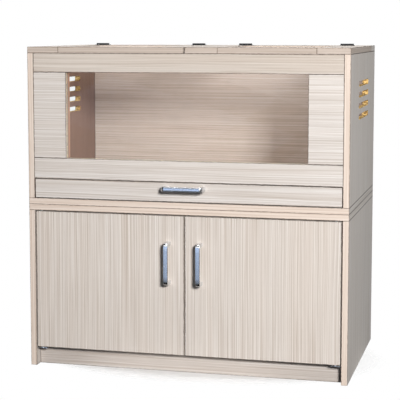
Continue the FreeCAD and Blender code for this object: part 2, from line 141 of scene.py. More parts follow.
def ramp(tree, factor, stops):
    """A colour ramp through (position, colour) stops."""
    made = put(tree, "ShaderNodeValToRGB", {"Fac": factor})
    band = made.color_ramp
    while len(band.elements) < len(stops):
        band.elements.new(0.5)
    for element, (position, colour) in zip(band.elements, stops):
        element.position = position
        element.color = (*colour, 1.0)
    return made.outputs["Color"]


def blend(tree, factor, first, second, kind="MIX"):
    """Mixes two colours. A colour may be another node's output or three numbers."""
    made = put(tree, "ShaderNodeMix", data_type="RGBA", blend_type=kind)
    for socket, value in ((made.inputs[0], factor), (made.inputs[6], first), (made.inputs[7], second)):
        if isinstance(value, bpy.types.NodeSocket):
            tree.links.new(value, socket)
        elif isinstance(value, tuple):
            socket.default_value = (*value, 1.0)
        else:
            socket.default_value = value
    return made.outputs[2]


def span(tree, value, from_low, from_high, to_low, to_high):
    """A number taken from one range to another, and held inside it."""
    limits = {0: value, 1: from_low, 2: from_high, 3: to_low, 4: to_high}
    return put(tree, "ShaderNodeMapRange", limits).outputs[0]


def worked_out(tree, kind, first, second):
    """Two numbers put together: added, multiplied, the smaller of them, or one to the power of the other."""
    return put(tree, "ShaderNodeMath", {0: first, 1: second}, operation=kind).outputs[0]


def total(tree, first, second):
    return worked_out(tree, "ADD", first, second)


def object_place(tree):
    """Object coordinates, in metres from the origin."""
    return put(tree, "ShaderNodeTexCoord").outputs["Object"]


def material_output(tree):
    return next(n for n in tree.nodes if n.type in ("OUTPUT_MATERIAL", "OUTPUT_WORLD")).inputs["Surface"]


def surface(tree, shader, colour, roughness):
    tree.links.new(colour, shader.inputs["Base Color"])
    tree.links.new(roughness, shader.inputs["Roughness"])


def bump(tree, shader, height, strength, distance):
    made = put(tree, "ShaderNodeBump", {"Height": height, "Strength": strength, "Distance": distance})
    tree.links.new(made.outputs["Normal"], shader.inputs["Normal"])


# %% [markdown]
# ## Laminate
# The boards wear a printed melamine film: pale greige ash with long fine streaks, a few darker threads, and
# a faint tooth that follows the grain. The pattern could be painted by hand, but streaks are noise stretched
# some two hundred times along one direction. The direction differs from board to board, so the pattern
# reads a UV map in metres, where U always runs along the grain. Several scales are laid over each other:
# broad tones a few centimetres wide, bands and streaks a few millimetres wide, darker threads, and pores
# under a millimetre. The whole grain is shifted a little sideways, so that no line is ruled. Along the edges
# of each face a thin dark line is painted: it is painted shade for the seams between boards, and a noise
# breaks its width as chipped edges would.

# %% Laminate material
EDGE_LINE = 0.0014


def edge_distance(tree):
    """Metres to the nearest outer edge of the face, from two maps that start at opposite corners."""
    least = None
    for name in ("FromLow", "FromHigh"):
        place = put(tree, "ShaderNodeUVMap", uv_map=name).outputs[0]
        parts = put(tree, "ShaderNodeSeparateXYZ", {0: place}).outputs
        nearer = worked_out(tree, "MINIMUM", parts[0], parts[1])
        least = nearer if least is None else worked_out(tree, "MINIMUM", least, nearer)
    return least


def paint_seam_shade(tree, colour, place, reach, depth, shade):
    """Painted shade of the seams, its width broken as by chipped edges: the colour turns dark over the last
    millimetre or so before the edge.
    """
    chips = noise(tree, stretched(tree, place, (90.0, 90.0, 1.0)), 1.0, 3.0)
    limit = span(tree, chips, 0.35, 0.65, 0.7 * reach, 1.5 * reach)
    near = span(tree, edge_distance(tree), 0.3 * reach, limit, depth, 0.0)
    return blend(tree, near, colour, shade), near


def laminate_material():
    material, tree, shader = start_material("ash_laminate", 0.46, specular=0.35)
    grain = put(tree, "ShaderNodeUVMap", uv_map="Grain").outputs[0]
    wander = noise(tree, stretched(tree, grain, (3.0, 6.0, 1.0)), 1.0, 1.0)
    sideways = span(tree, wander, 0.3, 0.7, -0.0015, 0.0015)
    shifted = put(tree, "ShaderNodeCombineXYZ", {"Y": sideways}).outputs[0]
    flow = put(tree, "ShaderNodeVectorMath", {0: grain, 1: shifted}, operation="ADD").outputs[0]
    broad = noise(tree, stretched(tree, flow, (0.9, 30.0, 1.0)), 1.0, 2.0)
    bands = noise(tree, stretched(tree, flow, (1.3, 330.0, 1.0), (3, 9, 0)), 1.0, 1.0, 0.5)
    streaks = noise(tree, stretched(tree, flow, (2.0, 560.0, 1.0)), 1.0, 3.0, 0.6)
    threads = noise(tree, stretched(tree, flow, (3.8, 620.0, 1.0), (7, 3, 0)), 1.0, 2.0, 0.6)
    pores = noise(tree, stretched(tree, flow, (45.0, 1900.0, 1.0)), 1.0, 2.0)
    tone = ramp(tree, span(tree, total(tree, streaks, bands), 0.6, 1.4, 0.0, 1.0),
                [(0.20, (0.470, 0.405, 0.350)), (0.42, (0.560, 0.503, 0.455)),
                  (0.58, (0.610, 0.557, 0.510)), (0.80, (0.672, 0.628, 0.588))])
    tint = ramp(tree, broad, [(0.30, (0.99, 0.975, 0.965)), (0.50, (1.0, 1.0, 1.0)),
                              (0.70, (0.995, 1.0, 1.008))])
    colour = blend(tree, 1.0, tone, tint, "MULTIPLY")
    colour = blend(tree, span(tree, threads, 0.55, 0.69, 0.0, 0.72), colour, (0.39, 0.32, 0.265))
    colour = blend(tree, span(tree, pores, 0.58, 0.76, 0.0, 0.28), colour, (0.35, 0.29, 0.24))
    # Each face's tone multiplies the film; on some faces it is painted shade.
    tone_and_shade = put(tree, "ShaderNodeAttribute", attribute_name="tone_and_shade").outputs["Color"]
    colour = blend(tree, 1.0, colour, tone_and_shade, "MULTIPLY")
    # Painted shade of the seams: a nearly black line along the face's edges, its width broken like chipped
    # edges.
    colour, near = paint_seam_shade(tree, colour, grain, EDGE_LINE, 0.95, (0.050, 0.034, 0.024))
    rough = total(tree, span(tree, streaks, 0.3, 0.7, 0.52, 0.42), span(tree, near, 0.0, 0.5, 0.0, 0.12))
    surface(tree, shader, colour, rough)
    bump(tree, shader, total(tree, streaks, pores), 0.25, 0.0002)
    return material


laminate = laminate_material()

# %% [markdown]
# ## Edge banding and raw chipboard
# The cut edges are closed with a thin plastic band, printed in a warmer, plainer tone than the film, so
# most edges read as a peach line. The doors and front rails have a cream one and the lids a darker tan one.
# The battens behind the window get a dark reddish one, which is painted shade: they stand in shadow behind
# the stiles. Holes, grooves and vent slots are cut after the banding, and show the bare chipboard: golden
# flakes pressed together. The flakes are Voronoi cells, squashed flat, with a noise for the dust between them.

# %% Banding and chipboard materials
def banding_material(name, dark, middle, light):
    material, tree, shader = start_material(name, 0.42, specular=0.35)
    grain = put(tree, "ShaderNodeUVMap", uv_map="Grain").outputs[0]
    streaks = noise(tree, stretched(tree, grain, (2.5, 300.0, 1.0)), 1.0, 3.0, 0.6)
    colour = ramp(tree, streaks, [(0.32, dark), (0.52, middle), (0.68, light)])
    rub = noise(tree, stretched(tree, grain, (14.0, 110.0, 1.0)), 1.0, 3.0)
    colour = blend(tree, span(tree, rub, 0.58, 0.75, 0.0, 0.4), colour, dark)
    # Painted shade of the seams along the banding's edges, its width broken like chipped edges.
    colour, near = paint_seam_shade(tree, colour, grain, 0.8 * EDGE_LINE, 0.85, (0.090, 0.056, 0.036))
    surface(tree, shader, colour, span(tree, rub, 0.3, 0.7, 0.36, 0.50))
    bump(tree, shader, streaks, 0.15, 0.00015)
    return material


def chipboard_material():
    material, tree, shader = start_material("raw_chipboard", 0.9, specular=0.2)
    place = object_place(tree)
    pressed = stretched(tree, place, (210, 210, 480))
    flakes = put(tree, "ShaderNodeTexVoronoi", {"Vector": pressed, "Scale": 1.0})
    dust = noise(tree, place, 900.0, 3.0, 0.6)
    shade = put(tree, "ShaderNodeSeparateColor", {0: flakes.outputs["Color"]}).outputs[0]
    colour = ramp(tree, shade, [(0.0, (0.085, 0.050, 0.018)), (0.35, (0.40, 0.25, 0.08)),
                                (0.7, (0.62, 0.43, 0.16)), (1.0, (0.80, 0.62, 0.30))])
    colour = blend(tree, span(tree, dust, 0.45, 0.7, 0.0, 0.5), colour, (0.30, 0.19, 0.09))
    surface(tree, shader, colour, span(tree, dust, 0.3, 0.7, 0.82, 0.97))
    bump(tree, shader, total(tree, shade, dust), 0.6, 0.0004)
    return material


# The battens' dark banding is painted shade: they stand in shadow behind the stiles.
band_colours = {"peach": ((0.56, 0.445, 0.365), (0.67, 0.56, 0.478), (0.735, 0.635, 0.56)),
                "cream": ((0.64, 0.575, 0.50), (0.76, 0.705, 0.64), (0.83, 0.785, 0.725)),
                "tan": ((0.40, 0.32, 0.262), (0.485, 0.405, 0.345), (0.535, 0.46, 0.405)),
                "batten_shade": ((0.42, 0.235, 0.17), (0.50, 0.29, 0.21), (0.56, 0.34, 0.26))}
bands = {name: banding_material(name + "_banding", *colours) for name, colours in band_colours.items()}
chipboard = chipboard_material()

# %% [markdown]
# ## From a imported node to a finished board
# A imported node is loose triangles. A board is made from a copy of them: the corners are merged, flat
# neighbours are joined again, and every face is sorted. Faces on the board's broad sides are laminate,
# other faces on its outer box are banding, and whatever lies inside that box is a cut. The ends of the
# boards that run from left to right are closed with a strip of the film itself, so they match the side
# panels. A bevel of under a millimetre then breaks the edges, as the banding machine's scraper does, and
# draws the fine seams where two boards meet. Unwrapping each board by hand would give the same UV map, but
# a box needs no seams.

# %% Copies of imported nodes
def linked(name, data):
    """An object in the scene, with this mesh or this lamp."""
    made = bpy.data.objects.new(name, data)
    bpy.context.collection.objects.link(made)
    return made


def from_shape(name, shape, *materials):
    """An object from an edited shape, which is freed, with its materials."""
    mesh = bpy.data.meshes.new(name)
    shape.to_mesh(mesh)
    shape.free()
    for material in materials:
        mesh.materials.append(material)
    return linked(name, mesh)


def welded_shape(node):
    """The node's shape to edit, with the corners of its loose triangles merged."""
    shape = bmesh.new()
    shape.from_mesh(frame["nodes"][node].data)
    bmesh.ops.remove_doubles(shape, verts=shape.verts, dist=1e-6)
    return shape


def merged_copy(node, name, *materials):
    """A new object with the node's shape, its corners merged and its flat faces joined."""
    shape = welded_shape(node)
    bmesh.ops.dissolve_limit(shape, angle_limit=math.radians(0.5), verts=shape.verts, edges=shape.edges)
    return from_shape(name, shape, *materials)


def soften(piece, width, segments=2, angle=35.0):
    """Broken edges: a bevel modifier, with the flat faces kept flat to the eye."""
    edge = piece.modifiers.new("broken_edges", "BEVEL")
    edge.width = width
    edge.segments = segments
    edge.limit_method = "ANGLE"
    edge.angle_limit = math.radians(angle)
    edge.harden_normals = True
    piece.data.shade_smooth()


def stand_for(piece, node):
    """The piece takes the node's place, on the node's own body, and the node is hidden."""
    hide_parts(node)
    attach(piece, body_of[node])


# %% The loose solids of a node
def islands(node):
    """The loose solids of a node: for each, its lowest and highest corner and all its points."""
    shape = welded_shape(node)
    found, seen = [], set()
    for first in shape.verts:
        if first in seen:
            continue
        group, waiting = [], [first]
        seen.add(first)
        while waiting:
            vertex = waiting.pop()
            group.append(vertex.co.copy())
            for edge in vertex.link_edges:
                other = edge.other_vert(vertex)
                if other not in seen:
                    seen.add(other)
                    waiting.append(other)
        low = Vector([min(p[a] for p in group) for a in range(3)])
        high = Vector([max(p[a] for p in group) for a in range(3)])
        found.append((low, high, group))
    shape.free()
    return found


# %% Boards
AXES = {"x": 0, "y": 1, "z": 2}
BROKEN_EDGE = 0.6 * MM
# Every board's film is cut from another place of the roll: metres to the next board, and to its other face.
NEXT_ALONG, NEXT_ACROSS, FAR_SIDE = 1.37, 0.53, 0.31
board_count = 0


def board(node, grain, band, tone, inward_shade):
    """A laminated board, or a pair of them: the grain along x, y or z, the banding, and the tones that the
    film is multiplied by, on most faces and on those turned toward the middle of the cage. Some tones are
    painted shade: inside the cage, on the battens and on the recessed plinth."""
    global board_count
    board_count += 1
    solids = [(low, high) for low, high, _ in islands(node)]
    along = AXES[grain]
    piece = merged_copy(node, node + "_board", laminate, band, chipboard)
    mesh = piece.data
    for name in ("Grain", "FromLow", "FromHigh"):
        mesh.uv_layers.new(name=name)
    grain_map, from_low, from_high = mesh.uv_layers[:3]
    for face in mesh.polygons:
        low, high = min(solids, key=lambda box: ((box[0] + box[1]) / 2 - face.center).length)
        size = high - low
        thin = min(range(3), key=lambda a: size[a])
        axis = max(range(3), key=lambda a: abs(face.normal[a]))
        outer = abs(face.normal[axis]) > 0.999 and min(abs(face.center[axis] - low[axis]),
                                                       abs(face.center[axis] - high[axis])) < 0.02 * MM
        filmed = axis == thin or axis == along == 0
        face.material_index = 2 if not outer else (0 if filmed else 1)
        in_plane = [a for a in range(3) if a != axis]
        u = along if axis == thin else max(in_plane, key=lambda a: size[a])
        v = next(a for a in in_plane if a != u)
        far_side = FAR_SIDE if face.normal[axis] > 0 else 0.0
        for corner in face.loop_indices:
            point = mesh.vertices[mesh.loops[corner].vertex_index].co
            along_grain = point[u] + NEXT_ALONG * board_count
            grain_map.data[corner].uv = (along_grain, point[v] + NEXT_ACROSS * board_count + far_side)
            from_low.data[corner].uv = (point[u] - low[u], point[v] - low[v])
            from_high.data[corner].uv = (high[u] - point[u], high[v] - point[v])
    # Faces turned toward the middle of the cage take the inward tone, which is painted shade inside the cage.
    tones = mesh.attributes.new("tone_and_shade", "FLOAT_VECTOR", "FACE")
    for face, layer in zip(mesh.polygons, tones.data):
        layer.vector = inward_shade if face.normal.dot(cage_middle - face.center) > 0 else tone
    soften(piece, BROKEN_EDGE)
    mesh.shade_flat()
    stand_for(piece, node)
    return piece


cage_middle = (Vector(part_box("cage_back")[0]) + Vector(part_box("front_top_rail")[1])) / 2
# Tones that the film is multiplied by. The two inside tones are painted shade on faces turned toward the
# middle of the cage, the battens' tone is painted shade behind the stiles, the dim tone is painted shade on
# the recessed plinth, and the others are plain tones of the print.
PLAIN, WARM, COOL = (1.0, 1.0, 1.0), (0.91, 0.88, 0.845), (1.02, 1.03, 1.045)
RECESS_SHADE, BRIGHT = (0.84, 0.825, 0.82), (1.04, 1.03, 1.02)
INSIDE_SHADE, DUSKY_SHADE, SHADED = (0.63, 0.58, 0.57), (0.345, 0.235, 0.20), (0.62, 0.42, 0.34)
board_rows = [
    ("z", "peach", PLAIN, PLAIN, ["cabinet_left_side", "cabinet_right_side"]),
    # Painted shade on the inner faces of the cage's sides.
    ("z", "peach", PLAIN, DUSKY_SHADE, ["cage_left_side", "cage_right_side"]),
    ("z", "cream", BRIGHT, BRIGHT, ["left_door", "right_door"]),
    # Painted shade on the plinth, recessed under the doors.
    ("x", "peach", RECESS_SHADE, RECESS_SHADE, ["plinth_front"]),
    ("x", "peach", PLAIN, PLAIN, ["cabinet_top", "cabinet_bottom", "plinth_back", "cage_floor"]),
    # Painted shade on the battens and their banding, in shadow behind the stiles.
    ("z", "batten_shade", SHADED, SHADED, ["window_battens"]),
    # Painted shade on the inner face of the cage's back.
    ("x", "peach", PLAIN, INSIDE_SHADE, ["cage_back"]),
    ("x", "cream", WARM, WARM, ["front_top_rail"]),
    ("x", "cream", COOL, COOL, ["front_lower_rail", "front_left_stile", "front_right_stile",
                                   "drawer_front"]),
    ("x", "peach", PLAIN, PLAIN, ["drawer_back"]),
    ("x", "tan", PLAIN, PLAIN, ["top_back_rail", "left_lid_front_rail", "left_lid_back_rail",
                                   "right_lid_front_rail", "right_lid_back_rail"]),
    ("y", "tan", PLAIN, PLAIN, ["left_lid_left_stile", "left_lid_right_stile", "right_lid_left_stile",
                                   "right_lid_right_stile"]),
    ("y", "peach", PLAIN, PLAIN, ["drawer_left_side", "drawer_right_side"]),
]
boards = {}
for grain, colour, outer_tone, inward_shade, nodes in board_rows:
    for node in nodes:
        boards[node] = board(node, grain, bands[colour], outer_tone, inward_shade)
print("boards", len(boards), "faces", sum(len(b.data.polygons) for b in boards.values()))

# %% [markdown]
# ## Hardboard
# The cabinet's back and the drawer's bottom are 3 mm hardboard: brown pressed fibre, smooth on one side.
# Short fibres are a noise stretched only a little, in two directions laid over each other. The sheets are
# plain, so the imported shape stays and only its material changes.

# %% Hardboard material
def hardboard_material():
    material, tree, shader = start_material("hardboard", 0.7, specular=0.25)
    place = object_place(tree)
    fibres = noise(tree, stretched(tree, place, (700, 160, 240)), 1.0, 4.0, 0.65)
    crossing = noise(tree, stretched(tree, place, (190, 640, 760), (5, 1, 2)), 1.0, 3.0, 0.6)
    clouds = noise(tree, place, 9.0, 2.0)
    both = total(tree, fibres, crossing)
    colour = ramp(tree, span(tree, both, 0.6, 1.4, 0.0, 1.0),
                  [(0.2, (0.20, 0.125, 0.070)), (0.5, (0.335, 0.220, 0.130)), (0.8, (0.47, 0.33, 0.21))])
    colour = blend(tree, span(tree, clouds, 0.4, 0.65, 0.0, 0.3), colour, (0.27, 0.17, 0.10))
    surface(tree, shader, colour, span(tree, both, 0.7, 1.3, 0.78, 0.60))
    bump(tree, shader, both, 0.4, 0.0003)
    return material


def finish_node(node, material):
    """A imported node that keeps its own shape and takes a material."""
    mesh = frame["nodes"][node].data
    mesh.materials.clear()
    mesh.materials.append(material)


hardboard = hardboard_material()
for node in ("cabinet_back", "drawer_bottom"):
    finish_node(node, hardboard)

# %% [markdown]
# ## Metals
# Four finishes are on the metal pieces: satin chrome on the handles, black lacquer on the lid hinges, bright
# zinc on screws and plates, and dull spangled zinc on the mesh wires. Each is one Principled shader with full
# metallic, and what tells them apart is the roughness and its pattern. Brushing is a noise stretched along
# the strip. Lacquer is not metallic, but shows metal where a second noise rubs it through.

# %% Metal materials
def satin_material(name, brushing):
    """Satin chrome. The brushing is the scale of its scratches along x, y and z."""
    material, tree, shader = start_material(name, 0.3, metallic=1.0)
    place = object_place(tree)
    scratches = noise(tree, stretched(tree, place, brushing), 1.0, 4.0, 0.7)
    smudges = noise(tree, place, 45.0, 3.0)
    colour = ramp(tree, scratches, [(0.35, (0.69, 0.71, 0.745)), (0.65, (0.74, 0.76, 0.79))])
    colour = blend(tree, span(tree, smudges, 0.55, 0.75, 0.0, 0.2), colour, (0.66, 0.70, 0.76))
    rough = total(tree, span(tree, scratches, 0.3, 0.7, 0.17, 0.26), span(tree, smudges, 0.5, 0.7, 0.0, 0.06))
    surface(tree, shader, colour, rough)
    bump(tree, shader, scratches, 0.03, 0.00002)
    return material


def lacquer_material():
    material, tree, shader = start_material("black_lacquer", 0.5, specular=0.25)
    place = object_place(tree)
    orange_peel = noise(tree, place, 1600.0, 2.0)
    rubbed = noise(tree, place, 260.0, 5.0, 0.7)
    worn = span(tree, rubbed, 0.66, 0.72, 0.0, 1.0)
    colour = ramp(tree, orange_peel, [(0.3, (0.010, 0.010, 0.011)), (0.7, (0.024, 0.024, 0.026))])
    colour = blend(tree, worn, colour, (0.36, 0.35, 0.34))
    surface(tree, shader, colour, span(tree, rubbed, 0.3, 0.7, 0.42, 0.62))
    tree.links.new(worn, shader.inputs["Metallic"])
    bump(tree, shader, orange_peel, 0.2, 0.0001)
    return material


def zinc_material(name, dark, light, spangle, rough_low, rough_high):
    material, tree, shader = start_material(name, 0.35, metallic=1.0)
    place = object_place(tree)
    cells = put(tree, "ShaderNodeTexVoronoi", {"Vector": place, "Scale": spangle})
    shade = put(tree, "ShaderNodeSeparateColor", {0: cells.outputs["Color"]}).outputs[0]
    grime = noise(tree, place, spangle * 0.8, 4.0, 0.6)
    colour = ramp(tree, shade, [(0.0, dark), (1.0, light)])
    colour = blend(tree, span(tree, grime, 0.55, 0.75, 0.0, 0.4), colour, (0.27, 0.26, 0.25))
    surface(tree, shader, colour, span(tree, grime, 0.3, 0.7, rough_low, rough_high))
    bump(tree, shader, grime, 0.15, 0.00008)
    return material


upright_satin = satin_material("satin_chrome_upright", (900, 900, 14))
level_satin = satin_material("satin_chrome_level", (14, 900, 900))
lacquer = lacquer_material()
bright_zinc = zinc_material("bright_zinc", (0.58, 0.59, 0.62), (0.76, 0.77, 0.79), 500.0, 0.22, 0.40)
wire_zinc = zinc_material("galvanised_wire", (0.40, 0.41, 0.42), (0.58, 0.59, 0.60), 320.0, 0.34, 0.58)

# %% [markdown]
# ## Plastics, beech and the clear pane
# Bushes, glides and catches are moulded in off-white nylon, a little waxy, so they get some light under
# the surface. Dowels are ribbed beech. The pane is clear acrylic. A glass shader would bend every ray twice
# and darken the cage behind it, and a 3 mm sheet bends nothing that the eye could see. So the pane lets
# light straight through and mirrors a little, more at a grazing angle. A Fresnel node would turn the inner
# face into a full mirror past some fifty degrees, because it takes the light to be leaving solid acrylic, so
# the share is worked out from Layer Weight's facing, which is the same on both faces.

# %% Plastic, beech and acrylic materials
# The share of light that the pane mirrors, seen head on and seen edge on.
HEAD_ON, GRAZING = 0.017, 0.85


def nylon_material():
    material, tree, shader = start_material("white_nylon", 0.45)
    place = object_place(tree)
    flow = noise(tree, place, 60.0, 3.0)
    grit = noise(tree, place, 1500.0, 2.0)
    colour = ramp(tree, flow, [(0.3, (0.70, 0.69, 0.66)), (0.7, (0.80, 0.795, 0.77))])
    surface(tree, shader, colour, span(tree, flow, 0.3, 0.7, 0.38, 0.52))
    shader.inputs["Subsurface Weight"].default_value = 0.15
    shader.inputs["Subsurface Scale"].default_value = 0.002
    bump(tree, shader, grit, 0.15, 0.00008)
    return material


def beech_material():
    material, tree, shader = start_material("beech", 0.7, specular=0.3)
    place = object_place(tree)
    streaks = noise(tree, stretched(tree, place, (60, 700, 500)), 1.0, 3.0, 0.6)
    flecks = noise(tree, stretched(tree, place, (400, 1600, 1600)), 1.0, 2.0)
    colour = ramp(tree, streaks, [(0.3, (0.50, 0.33, 0.18)), (0.7, (0.66, 0.48, 0.30))])
    colour = blend(tree, span(tree, flecks, 0.62, 0.72, 0.0, 0.5), colour, (0.38, 0.23, 0.12))
    surface(tree, shader, colour, span(tree, streaks, 0.3, 0.7, 0.62, 0.78))
    bump(tree, shader, streaks, 0.3, 0.0002)
    return material


def acrylic_material():
    material = bpy.data.materials.new("clear_acrylic")
    material.use_nodes = True
    tree = material.node_tree
    tree.nodes.remove(tree.nodes["Principled BSDF"])
    place = object_place(tree)
    haze = noise(tree, place, 35.0, 4.0, 0.6)
    tint = ramp(tree, haze, [(0.3, (0.94, 0.955, 0.95)), (0.7, (0.965, 0.975, 0.97))])
    clear = put(tree, "ShaderNodeBsdfTransparent", {"Color": tint})
    mirror = put(tree, "ShaderNodeBsdfGlossy", {"Roughness": span(tree, haze, 0.3, 0.7, 0.02, 0.07)})
    facing = put(tree, "ShaderNodeLayerWeight", {"Blend": 0.5}).outputs["Facing"]
    share = span(tree, worked_out(tree, "POWER", facing, 5.0), 0.0, 1.0, HEAD_ON, GRAZING)
    both = put(tree, "ShaderNodeMixShader", {0: share, 1: clear.outputs[0], 2: mirror.outputs[0]})
    tree.links.new(both.outputs[0], material_output(tree))
    return material


nylon = nylon_material()
beech = beech_material()
acrylic = acrylic_material()
for node in ("left_door_bushes", "right_door_bushes", "drawer_glides"):
    finish_node(node, nylon)
for node in ("left_door_strike", "right_door_strike"):
    finish_node(node, bright_zinc)
finish_node("dowels", beech)
finish_node("hinge_pins", lacquer)

pane = merged_copy("window_pane", "clear_window_pane", acrylic)
soften(pane, 0.2 * MM)
stand_for(pane, "window_pane")

# %% [markdown]
# ## Bow handles
# A bow handle is cast with two legs and a flatter grip between them. Its face is slightly crowned, which is
# what draws a soft band of light down the grip, and a bevel on the imported shape could not give that. So the
# handle is swept: pairs of points on the outer and inner outline of the bow, and between each pair one
# rounded section. The outlines have the imported handle's own length, reach and bend.

# %% Swept handles
GRIP, LEG, BEND, CROWN = 5.0 * MM, 9.0 * MM, 10.0 * MM, 0.5 * MM


def bow_outlines(half_length, reach):
    """Pairs of (along, out) points on the outer and the inner outline, from one foot to the other."""
    steps = 10
    inner_bend = BEND - GRIP
    pairs = [((-half_length, out), (LEG - half_length, out)) for out in (0.0, 0.25 * reach, 0.5 * reach)]
    for i in range(steps + 1):
        turn = math.pi / 2 * i / steps
        centre = (BEND - half_length, reach - BEND)
        inner_centre = (LEG + inner_bend - half_length, reach - GRIP - inner_bend)
        across, up = math.cos(turn), math.sin(turn)
        pairs.append(((centre[0] - BEND * across, centre[1] + BEND * up),
                      (inner_centre[0] - inner_bend * across, inner_centre[1] + inner_bend * up)))
    mirrored = [((-o[0], o[1]), (-i[0], i[1])) for o, i in reversed(pairs)]
    middle = [((x, reach), (x, reach - GRIP)) for x in (-0.6 * half_length, 0.0, 0.6 * half_length)]
    return pairs + middle + mirrored


def handle_section(width, thickness):
    """The section as (across, up) points: crowned above, with rounded corners."""
    half, corner, foot = width / 2, 1.0 * MM, 0.7 * MM
    edge = thickness - CROWN
    points = [(x * (half - corner) / 4, thickness - CROWN * (x / 4) ** 2) for x in range(-4, 5)]
    rounds = ((corner, (half - corner, edge - corner), 90), (foot, (half - foot, foot), 0),
              (foot, (foot - half, foot), 270), (corner, (corner - half, edge - corner), 180))
    for radius, centre, start in rounds:
        for i in range(1, 5):
            turn = math.radians(start - 90 * i / 5)
            points.append((centre[0] + radius * math.cos(turn), centre[1] + radius * math.sin(turn)))
    return points


def skin(shape, rings):
    """Faces between each ring of corners and the next, and a cap on both ends."""
    for first, second in zip(rings, rings[1:]):
        for i in range(len(first)):
            j = (i + 1) % len(first)
            shape.faces.new((first[i], first[j], second[j], second[i]))
    shape.faces.new(rings[0])
    shape.faces.new(rings[-1])
    bmesh.ops.recalc_face_normals(shape, faces=shape.faces)


def round_off(piece, angle):
    """Smooth shading, with a sharp line wherever two faces meet at more than the angle."""
    piece.data.shade_smooth()
    piece.data.set_sharp_from_angle(angle=math.radians(angle))


def swept_handle(node, material):
    low, high = (Vector(corner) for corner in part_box(node))
    size, middle = high - low, (low + high) / 2
    along = 0 if size.x > size.z else 2
    shape = bmesh.new()
    rings = []
    for outer, inner in bow_outlines(size[along] / 2, size.y):
        depth = math.dist(outer, inner)
        step = ((outer[0] - inner[0]) / depth, (outer[1] - inner[1]) / depth)
        ring = []
        for across, up in handle_section(size[2 - along], depth):
            point = Vector((0, high.y - (inner[1] + step[1] * up), 0))
            point[along] = middle[along] + inner[0] + step[0] * up
            point[2 - along] = middle[2 - along] + across
            ring.append(shape.verts.new(point))
        rings.append(ring)
    skin(shape, rings)
    made = from_shape(node + "_bow", shape, material)
    round_off(made, 50)
    stand_for(made, node)
    return made


for node, satin in (("left_door_handle", upright_satin), ("right_door_handle", upright_satin),
                    ("drawer_handle", level_satin)):
    print(node, "faces", len(swept_handle(node, satin).data.polygons))

# %% [markdown]
# ## Hinges, plates and catches
# Hinges and pivot plates are stamped sheet, with edges that are only just broken, and the catches are
# moulded with softer ones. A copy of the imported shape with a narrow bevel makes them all.

# %% Softened metal pieces
def softened(node, material, width, segments):
    piece = merged_copy(node, node + "_finished", material)
    soften(piece, width, segments)
    stand_for(piece, node)
    return piece


for node in ("hinge_base_leaves", "left_lid_hinge_leaves", "right_lid_hinge_leaves"):
    softened(node, lacquer, 0.2 * MM, 2)
softened("door_pivot_plates", bright_zinc, 0.3 * MM, 2)
softened("door_catches", nylon, 0.8 * MM, 3)

# %% [markdown]
# ## Screws with Geometry Nodes
# Some forty screws are of three kinds, so each kind is modelled once. The head is turned from
# a short profile, as a lathe would, and a boolean cuts the cross recess. A Geometry Nodes tree then puts
# one copy on every point of a small cloud: it reads each point's outward direction, stands the copy up
# along it, and gives it a random turn, because nobody drives screws to the same angle. The points are
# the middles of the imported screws, one loose island of the node's mesh each.

# %% Geometry Nodes helpers
def geometry_tree(name, inputs):
    """An empty tree for a modifier, with its named inputs. Each input is a name and a socket type."""
    tree = bpy.data.node_groups.new(name, "GeometryNodeTree")
    tree.is_modifier = True
    tree.interface.new_socket("Geometry", in_out="OUTPUT", socket_type="NodeSocketGeometry")
    tree.interface.new_socket("Geometry", in_out="INPUT", socket_type="NodeSocketGeometry")
    for label, kind in inputs:
        tree.interface.new_socket(label, in_out="INPUT", socket_type="NodeSocket" + kind)
    return tree, tree.nodes.new("NodeGroupInput").outputs, tree.nodes.new("NodeGroupOutput").inputs


def bake(piece):
    """What the modifiers make becomes the piece's own mesh."""
    bpy.context.view_layer.update()
    changed = piece.evaluated_get(bpy.context.evaluated_depsgraph_get())
    finished = bpy.data.meshes.new_from_object(changed)
    piece.modifiers.clear()
    piece.data = finished


def grow(name, tree, points, values, outward=(), turns=()):
    """Runs a tree on a cloud of points, and returns what grew as a plain mesh object."""
    cloud = bpy.data.meshes.new(name)
    cloud.from_pydata([tuple(point) for point in points], [], [])
    if outward:
        layer = cloud.attributes.new("outward", "FLOAT_VECTOR", "POINT")
        layer.data.foreach_set("vector", [number for vector in outward for number in vector])
        cloud.attributes.new("turn", "FLOAT", "POINT").data.foreach_set("value", turns or [0.0] * len(points))
    made = linked(name, cloud)
    modifier = made.modifiers.new("grow", "NODES")
    modifier.node_group = tree
    for item in tree.interface.items_tree:
        if item.in_out == "INPUT" and item.name in values:
            modifier[item.identifier] = values[item.name]
    bake(made)
    print(name, "points", len(points), "faces", len(made.data.polygons))
    return made


